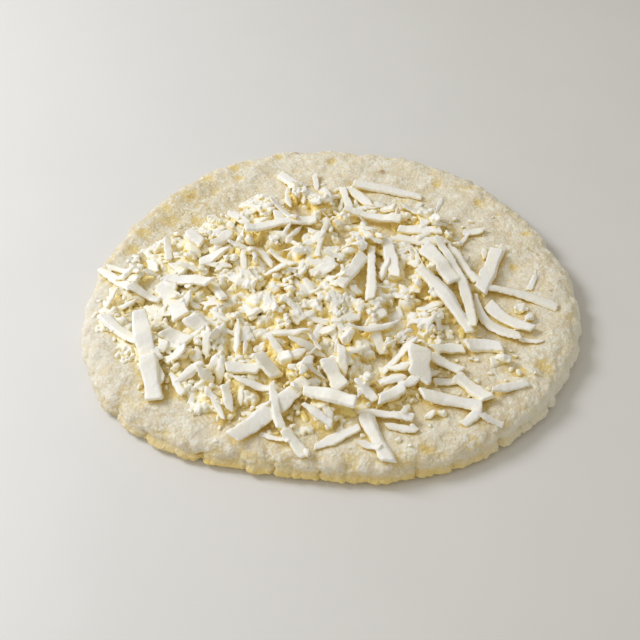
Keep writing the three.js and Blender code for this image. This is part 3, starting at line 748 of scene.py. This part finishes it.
def grated_cheese():
    """All the cheese, laid from the bottom up: the finished bed, the core, and each kind's loose pieces."""
    dice = random.Random(SEED)
    bed = core_bed(dice)
    core = core_mesh(bed)
    flakes, crumbs = [], []

    def add_small_pieces(flake_row, clump_row):
        count, *sizes = flake_row
        flakes.extend([short_shred(dice, bed, *sizes) for _ in range(count)])
        count, *sizes = clump_row
        for _ in range(count):
            crumbs.extend(clump(dice, bed, *sizes))

    add_small_pieces(LOWER_FLAKES, LOWER_CLUMPS)
    for x0, y0, x1, y1, count in STREWN:
        for _ in range(count):
            x, y = dice.uniform(x0, x1), dice.uniform(y0, y1)
            crumbs.append(lump(dice, bed, x, y, dice.uniform(*STREWN_RADII), sink=0.3))
    shreds = [long_shred(dice, bed, shred) for shred in LONG_SHREDS + LOOSE_SHREDS]
    steps = itertools.product(range(-CLEAN_MARGIN, CLEAN_MARGIN + 1), repeat=2)
    bed.clean = np.maximum.reduce([np.roll(bed.clean, step, (0, 1)) for step in steps])
    for x, y, radius in LUMPS:
        crumbs.append(lump(dice, bed, x, y, radius, sink=0.35, ball=LUMP_BALL))
    add_small_pieces(UPPER_FLAKES, UPPER_CLUMPS)
    for _ in range(SINGLE_CRUMBS):
        x, y = heap_place(dice, bed, 1.03, 0.06)
        crumbs.append(lump(dice, bed, x, y, dice.uniform(*SINGLE_RADII), sink=0.45))
    return bed, core, {"cheese_flakes": flakes, "cheese_crumbs": crumbs, "cheese_shreds": shreds}


# ---- Materials ----


class Shader:
    """A material's node tree and short ways to add to it. Sizes are in millimetres."""

    def __init__(self, name):
        self.material = bpy.data.materials.new(name)
        self.material.use_nodes = True
        self.nodes = self.material.node_tree.nodes
        self.links = self.material.node_tree.links
        self.surface = self.nodes["Principled BSDF"]
        self.place = self.add("TexCoord").outputs["Object"]

    def add(self, kind, inputs=(), **settings):
        node = self.nodes.new("ShaderNode" + kind)
        for key, value in settings.items():
            setattr(node, key, value)
        for key, value in dict(inputs).items():
            if isinstance(value, bpy.types.NodeSocket):
                self.links.new(value, node.inputs[key])
            else:
                node.inputs[key].default_value = value
        return node

    def axes(self):
        """The place along X, Y and Z, in metres."""
        return self.add("SeparateXYZ", {"Vector": self.place}).outputs

    def distance_to(self, x, y):
        """How far away a place on the cake's top is, in metres."""
        centre = (x * MM, y * MM, CAKE_TOP * MM)
        node = self.add("VectorMath", {0: self.place, 1: centre}, operation="DISTANCE")
        return node.outputs["Value"]

    def noise(self, size, detail=3, roughness=0.55):
        inputs = {"Vector": self.place, "Scale": 1 / (size * MM), "Detail": detail, "Roughness": roughness}
        return self.add("TexNoise", inputs).outputs["Fac"]

    def cells(self, size):
        inputs = {"Vector": self.place, "Scale": 1 / (size * MM)}
        return self.add("TexVoronoi", inputs, feature="F1").outputs["Distance"]

    def spread(self, value, low, high, to_low=0.0, to_high=1.0):
        """A value's smooth rise from low to high, spread from to_low to to_high."""
        inputs = {"Value": value, "From Min": low, "From Max": high, "To Min": to_low, "To Max": to_high}
        return self.add("MapRange", inputs, interpolation_type="SMOOTHSTEP").outputs["Result"]

    def maths(self, operation, first, second=0.0):
        return self.add("Math", {0: first, 1: second}, operation=operation).outputs[0]

    def times(self, first, second):
        return self.maths("MULTIPLY", first, second)

    def mix(self, share, first, second, blend="MIX"):
        node = self.add("Mix", {0: share, 6: first, 7: second}, data_type="RGBA", blend_type=blend)
        return node.outputs[2]

    def bump(self, height, strength, distance, normal=None):
        inputs = {"Height": height, "Strength": strength, "Distance": distance * MM}
        if normal is not None:
            inputs["Normal"] = normal
        return self.add("Bump", inputs).outputs["Normal"]

    def attribute(self, name):
        return self.add("Attribute", attribute_name=name).outputs["Fac"]

    def nook(self, reach):
        """1 in the open and lower in crevices."""
        node = self.add("AmbientOcclusion", {"Distance": reach * MM}, samples=6)
        return node.outputs["AO"]

    def finish(self, colour, roughness, normal, **constants):
        for key, value in {"Base Color": colour, "Roughness": roughness, "Normal": normal}.items():
            self.links.new(value, self.surface.inputs[key])
        for key, value in constants.items():
            self.surface.inputs[key.replace("_", " ")].default_value = value
        return self.material


def srgb(red, green, blue):
    """A colour as the eye reads it, from 11 to 255, as the shader's linear one."""
    return (*(((c / 255 + 0.055) / 1.055) ** 2.4 for c in (red, green, blue)), 1.0)


CHEESE_WHITE = srgb(252, 250, 245)
CHEESE_CREAM = srgb(252, 248, 236)
# Painted half shade: warm cream where the cheese is half hidden, for light scattered in it.
CHEESE_PAINTED_HALF_SHADE = srgb(255, 244, 208)
# Painted shade: yellow in the cheese's crevices.
CHEESE_PAINTED_CREVICE_SHADE = srgb(254, 230, 148)
DOUGH_PALE = srgb(238, 231, 212)
DOUGH_CREAM = srgb(227, 215, 187)
# Pale grains, and painted light on the dough's lower right side.
DOUGH_GRAIN_AND_PAINTED_LIGHT = srgb(250, 247, 236)
DOUGH_LIGHT = srgb(243, 238, 225)
DOUGH_FLECK = srgb(212, 190, 144)
# Painted shade on the dough beside and under the cheese.
DOUGH_PAINTED_SHADE = srgb(230, 206, 116)
DOUGH_GOLD = srgb(235, 209, 130)
DOUGH_WARM = srgb(221, 203, 156)
# Golden toasted lower edge, partly painted shade in front.
DOUGH_TOASTED_EDGE_AND_SHADE = srgb(246, 219, 138)
TOAST = srgb(166, 124, 58)
FLOOR_LIGHT = srgb(226, 225, 224)
FLOOR_GREY = srgb(224, 223, 222)


def cheese_material():
    """Fresh white cheese: nearly white and soft inside, with painted shade, warm cream where half hidden and
    yellow in the crevices, less of it at the left where the lamps fall.
    """
    shader = Shader("fresh_cheese")
    patches = shader.spread(shader.noise(9), 0.35, 0.65)
    colour = shader.mix(patches, CHEESE_WHITE, CHEESE_CREAM)
    openness = shader.nook(6)
    # Painted half shade: warm cream where ambient occlusion finds the surface half hidden.
    painted_half_shade = shader.spread(openness, 0.95, 0.45, 0, 0.9)
    colour = shader.mix(painted_half_shade, colour, CHEESE_PAINTED_HALF_SHADE)
    # Painted shade: yellow where ambient occlusion or the depth below the heap's surface finds a crevice.
    sunk = shader.spread(shader.attribute("depth"), 0.1, 0.8, 0, 0.95)
    painted_shade_share = shader.maths("MAXIMUM", shader.spread(openness, 0.72, 0.2, 0, 0.85), sunk)
    # Painted light: half as much crevice shade at the left, where the lamps fall.
    painted_light_left = shader.spread(shader.axes()["X"], -85 * MM, -10 * MM, 0.5, 1)
    colour = shader.mix(shader.times(painted_shade_share, painted_light_left), colour, CHEESE_PAINTED_CREVICE_SHADE)
    roughness = shader.spread(shader.noise(3, 2), 0.3, 0.7, 0.38, 0.58)
    curd = shader.maths("SUBTRACT", shader.noise(0.8, 3, 0.6), shader.times(shader.cells(1.5), 0.6))
    normal = shader.bump(curd, 0.35, 0.4, shader.bump(shader.noise(2.8, 2), 0.3, 0.4))
    return shader.finish(
        colour, roughness, normal,
        Subsurface_Weight=0.4, Subsurface_Radius=(1.0, 0.92, 0.75), Subsurface_Scale=1.3 * MM, IOR=1.4,
    )


def dough_crumb(shader):
    """The dough's mottled colour, with golden lows, darker flecks and paler grains, and its grain."""
    mottle = shader.spread(shader.noise(8, 4, 0.6), 0.36, 0.64)
    colour = shader.mix(mottle, DOUGH_PALE, DOUGH_CREAM)
    sunk = shader.spread(shader.attribute("depth"), 0.55, 1.0, 0, 0.55)
    colour = shader.mix(sunk, colour, DOUGH_GOLD)
    for (x, y, reach), tone in ((WARM_SIDE, DOUGH_WARM), (WHITE_SIDE, DOUGH_LIGHT)):
        share = shader.spread(shader.distance_to(x, y), reach * MM, 0.3 * reach * MM)
        patchy = shader.spread(shader.noise(5, 2), 0.38, 0.66, 0.3, 0.9)
        colour = shader.mix(shader.times(share, patchy), colour, tone)
    flecks = shader.spread(shader.noise(1.5, 2, 0.6), 0.58, 0.7, 0, 0.55)
    colour = shader.mix(flecks, colour, DOUGH_FLECK)
    grain = shader.times(shader.noise(1.0, 2, 0.6), 0.7)
    grain = shader.maths("SUBTRACT", grain, shader.times(shader.cells(1.25), 0.6))
    grain = shader.maths("SUBTRACT", grain, shader.times(shader.cells(2.9), 0.45))
    clusters = shader.spread(shader.noise(4.5, 2), 0.35, 0.62, 0.25, 0.85)
    pale_grains = shader.times(shader.spread(grain, -0.3, 0.02), clusters)
    return shader.mix(pale_grains, colour, DOUGH_GRAIN_AND_PAINTED_LIGHT), grain


def edge_and_underside(shader, place, colour):
    """A golden toasted lower edge, set strongest in front as painted shade on the side turned from the key lamp,
    a paler lower side at the right as painted light bounced onto it, and patches from the griddle underneath.
    """
    # Partly painted shade: the toasted edge is gold strongest in front, turned from the key lamp.
    edge_wave = shader.times(shader.noise(7), 4 * MM)
    low = shader.spread(shader.maths("ADD", place["Z"], edge_wave), 10 * MM, 4 * MM)
    sideways = shader.times(shader.maths("ABSOLUTE", place["X"]), 0.3)
    front = shader.spread(shader.maths("ADD", place["Y"], sideways), -20 * MM, -80 * MM, 0.1, 1.0)
    colour = shader.mix(shader.times(low, front), colour, DOUGH_TOASTED_EDGE_AND_SHADE)
    # Painted light: the lower side at the right is made paler, for light bounced onto it.
    side = shader.spread(place["Z"], 9.8 * MM, 7.5 * MM, 0, 0.65)
    right = shader.times(shader.spread(place["X"], 30 * MM, 90 * MM), side)
    colour = shader.mix(right, colour, DOUGH_GRAIN_AND_PAINTED_LIGHT)
    griddled = shader.mix(shader.spread(shader.noise(12, 4, 0.6), 0.38, 0.66), DOUGH_CREAM, DOUGH_FLECK)
    patches = shader.spread(shader.noise(24, 4, 0.65), 0.52, 0.68, 0, 0.75)
    griddled = shader.mix(patches, griddled, TOAST)
    return shader.mix(shader.spread(place["Z"], 1.3 * MM, 0.5 * MM), colour, griddled)


def toasted_spots(shader, colour):
    """Ragged spots on the top: golden dimples and a few toasted places."""
    ragged = shader.maths("SUBTRACT", shader.noise(2.4, 4, 0.65), 0.5)
    speckle = shader.spread(shader.noise(1.2), 0.36, 0.6, 0.35, 1)
    spots = [(*dimple, 0.85, DOUGH_GOLD) for dimple in GOLDEN_DIMPLES]
    spots += [(*spot, TOAST) for spot in TOASTED_SPOTS]
    for x, y, radius, strength, tone in spots:
        away = shader.maths("ADD", shader.distance_to(x, y), shader.times(ragged, 3.5 * radius * MM))
        share = shader.spread(away, 1.5 * radius * MM, 0.5 * radius * MM, 0, strength)
        colour = shader.mix(shader.times(share, speckle), colour, tone)
    return colour


def dough_material():
    """Cooked corn dough: pale, grainy, and toasted in spots and underneath, with painted shade beside the cheese
    and towards the left.
    """
    shader = Shader("corn_dough")
    place = shader.axes()
    colour, grain = dough_crumb(shader)
    colour = toasted_spots(shader, edge_and_underside(shader, place, colour))
    # Painted shade: the dough darkened towards the left, against the lamps' stronger light there.
    painted_shade_left = shader.spread(place["X"], -110 * MM, 10 * MM, 0.86, 1.0)
    colour = shader.mix(1.0, colour, painted_shade_left, "MULTIPLY")
    # Painted shade: golden beside and under the cheese where ambient occlusion finds it hidden, little of it low
    # on the side.
    painted_shade_share = shader.spread(shader.nook(9), 0.88, 0.3)
    on_top = shader.spread(place["Z"], 6 * MM, 9 * MM, 0.15, 0.9)
    colour = shader.mix(shader.times(painted_shade_share, on_top), colour, DOUGH_PAINTED_SHADE)
    roughness = shader.spread(shader.noise(2.2, 2), 0.3, 0.7, 0.62, 0.85)
    return shader.finish(
        colour, roughness, shader.bump(grain, 0.7, 0.6),
        Subsurface_Weight=0.6, Subsurface_Radius=(1.0, 0.9, 0.7), Subsurface_Scale=1.2 * MM, IOR=1.42,
    )


def floor_material():
    """A plain pale floor, slightly uneven in tone."""
    shader = Shader("pale_floor")
    tone = shader.noise(60, 2)
    colour = shader.mix(shader.spread(tone, 0.3, 0.7), FLOOR_LIGHT, FLOOR_GREY)
    roughness = shader.spread(tone, 0.3, 0.7, 0.5, 0.56)
    return shader.finish(colour, roughness, shader.bump(tone, 0.02, 0.05))


# ---- Making the objects ----

scene = bpy.context.scene


def make_object(name, mesh_data, material=None, depth=None):
    """A smooth object from points in millimetres, faces, and each point's depth for its shader."""
    points, faces = mesh_data
    mesh = bpy.data.meshes.new(name)
    mesh.from_pydata((np.asarray(points) * MM).tolist(), [], faces)
    if depth is not None:
        mesh.attributes.new("depth", "FLOAT", "POINT").data.foreach_set("value", depth)
    mesh.validate()
    mesh.update()
    mesh.shade_smooth()
    if material:
        mesh.materials.append(material)
    thing = bpy.data.objects.new(name, mesh)
    scene.collection.objects.link(thing)
    return thing


def dress(thing, node):
    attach(thing, "root")
    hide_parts(node)


def taken_apart(thing):
    """Points, normals and faces of an object with its modifiers applied. The object is removed."""
    mesh = bpy.data.meshes.new_from_object(thing.evaluated_get(bpy.context.evaluated_depsgraph_get()))
    points, normals = np.empty((2, 3 * len(mesh.vertices)))
    mesh.vertices.foreach_get("co", points)
    mesh.vertices.foreach_get("normal", normals)
    faces = [list(face.vertices) for face in mesh.polygons]
    bpy.data.objects.remove(thing)
    return points.reshape(-1, 3) / MM, normals.reshape(-1, 3), faces


def without_scraps(points, faces):
    """The mesh without the loose scraps of a few faces that thinning leaves."""
    owner = list(range(len(points)))

    def leader(point):
        while owner[point] != point:
            owner[point] = owner[owner[point]]
            point = owner[point]
        return point

    for face in faces:
        first = leader(face[0])
        for point in face[1:]:
            owner[leader(point)] = first
    size = collections.Counter(leader(face[0]) for face in faces)
    kept = [face for face in faces if size[leader(face[0])] >= FEWEST_FACES]
    used = sorted({point for face in kept for point in face})
    number = {old: new for new, old in enumerate(used)}
    return points[used], [[number[point] for point in face] for face in kept]


def thinned(mesh_data, triangles):
    """The same mesh with no more than a number of triangles."""
    thing = make_object("thinning", mesh_data)
    present = sum(len(face) - 2 for face in mesh_data[1])
    thing.modifiers.new("thin", "DECIMATE").ratio = min(1, triangles / present)
    points, _, faces = taken_apart(thing)
    return without_scraps(points, faces)


def fused(mesh_data, triangles, voxel, rounds, curd):
    """One closed skin round overlapping pieces, smoothed, thinned and grained like curd."""
    thing = make_object("fusing", mesh_data)
    remesh = thing.modifiers.new("remesh", "REMESH")
    remesh.mode = "VOXEL"
    remesh.voxel_size = voxel * MM
    soften = thing.modifiers.new("soften", "SMOOTH")
    soften.factor = 0.5
    soften.iterations = rounds
    quads = len(thing.evaluated_get(bpy.context.evaluated_depsgraph_get()).data.polygons)
    thing.modifiers.new("thin", "DECIMATE").ratio = min(1, triangles / (2 * quads))
    points, normals, faces = taken_apart(thing)
    relief = curd * (grains(points, 1.2, 41) - 0.4 + 0.4 * waves(points, 2.4, 42))
    return without_scraps(points + normals * relief[:, None], faces)


def make_cake():
    mesh_data, depth = cake_mesh()
    cake = make_object("arepa_cake", mesh_data, dough_material(), depth=depth)
    dress(cake, "corn_cake")


def make_cheese():
    material = cheese_material()
    bed, core, loose = grated_cheese()
    kinds = {"cheese_core": thinned(core, CORE_TRIANGLES)}
    for name, pieces in loose.items():
        kinds[name] = fused(joined(pieces), *FUSING[name])
    for name, mesh_data in kinds.items():
        piece = make_object(name, mesh_data, material, depth=how_deep(bed, mesh_data[0]))
        dress(piece, "grated_cheese")


def make_stage():
    half = 3000
    square = [(-half, -half, 0), (half, -half, 0), (half, half, 0), (-half, half, 0)]
    make_object("floor", (square, [[0, 1, 2, 3]]), floor_material())


def make_lights():
    """Round lamps that face the middle of the cake, and an even sky."""
    for name, place, size, power, colour in LIGHTS:
        light = bpy.data.lights.new(name, "AREA")
        light.shape, light.size = "DISK", size
        light.energy, light.color = power, colour
        thing = bpy.data.objects.new(name, light)
        thing.location = place
        thing.rotation_euler = (-Vector(place)).to_track_quat("-Z", "Y").to_euler()
        scene.collection.objects.link(thing)
    world = bpy.data.worlds.new("studio")
    world.use_nodes = True
    background = world.node_tree.nodes["Background"]
    background.inputs["Color"].default_value = (1.0, 0.945, 0.81, 1.0)
    background.inputs["Strength"].default_value = 0.45
    scene.world = world


def make_camera():
    """The photograph's view: from the front, looking down at 47 degrees."""
    data = bpy.data.cameras.new("camera")
    data.lens, data.sensor_width = 50, 36
    camera = bpy.data.objects.new("camera", data)
    camera.location = (-0.00421, -0.26977, 0.27815)
    camera.rotation_euler = [math.radians(angle) for angle in (42.747, 0.420, -0.430)]
    scene.collection.objects.link(camera)
    scene.camera = camera


make_camera()
make_stage()
make_lights()
make_cake()
make_cheese()
scene.view_settings.view_transform = "Standard"
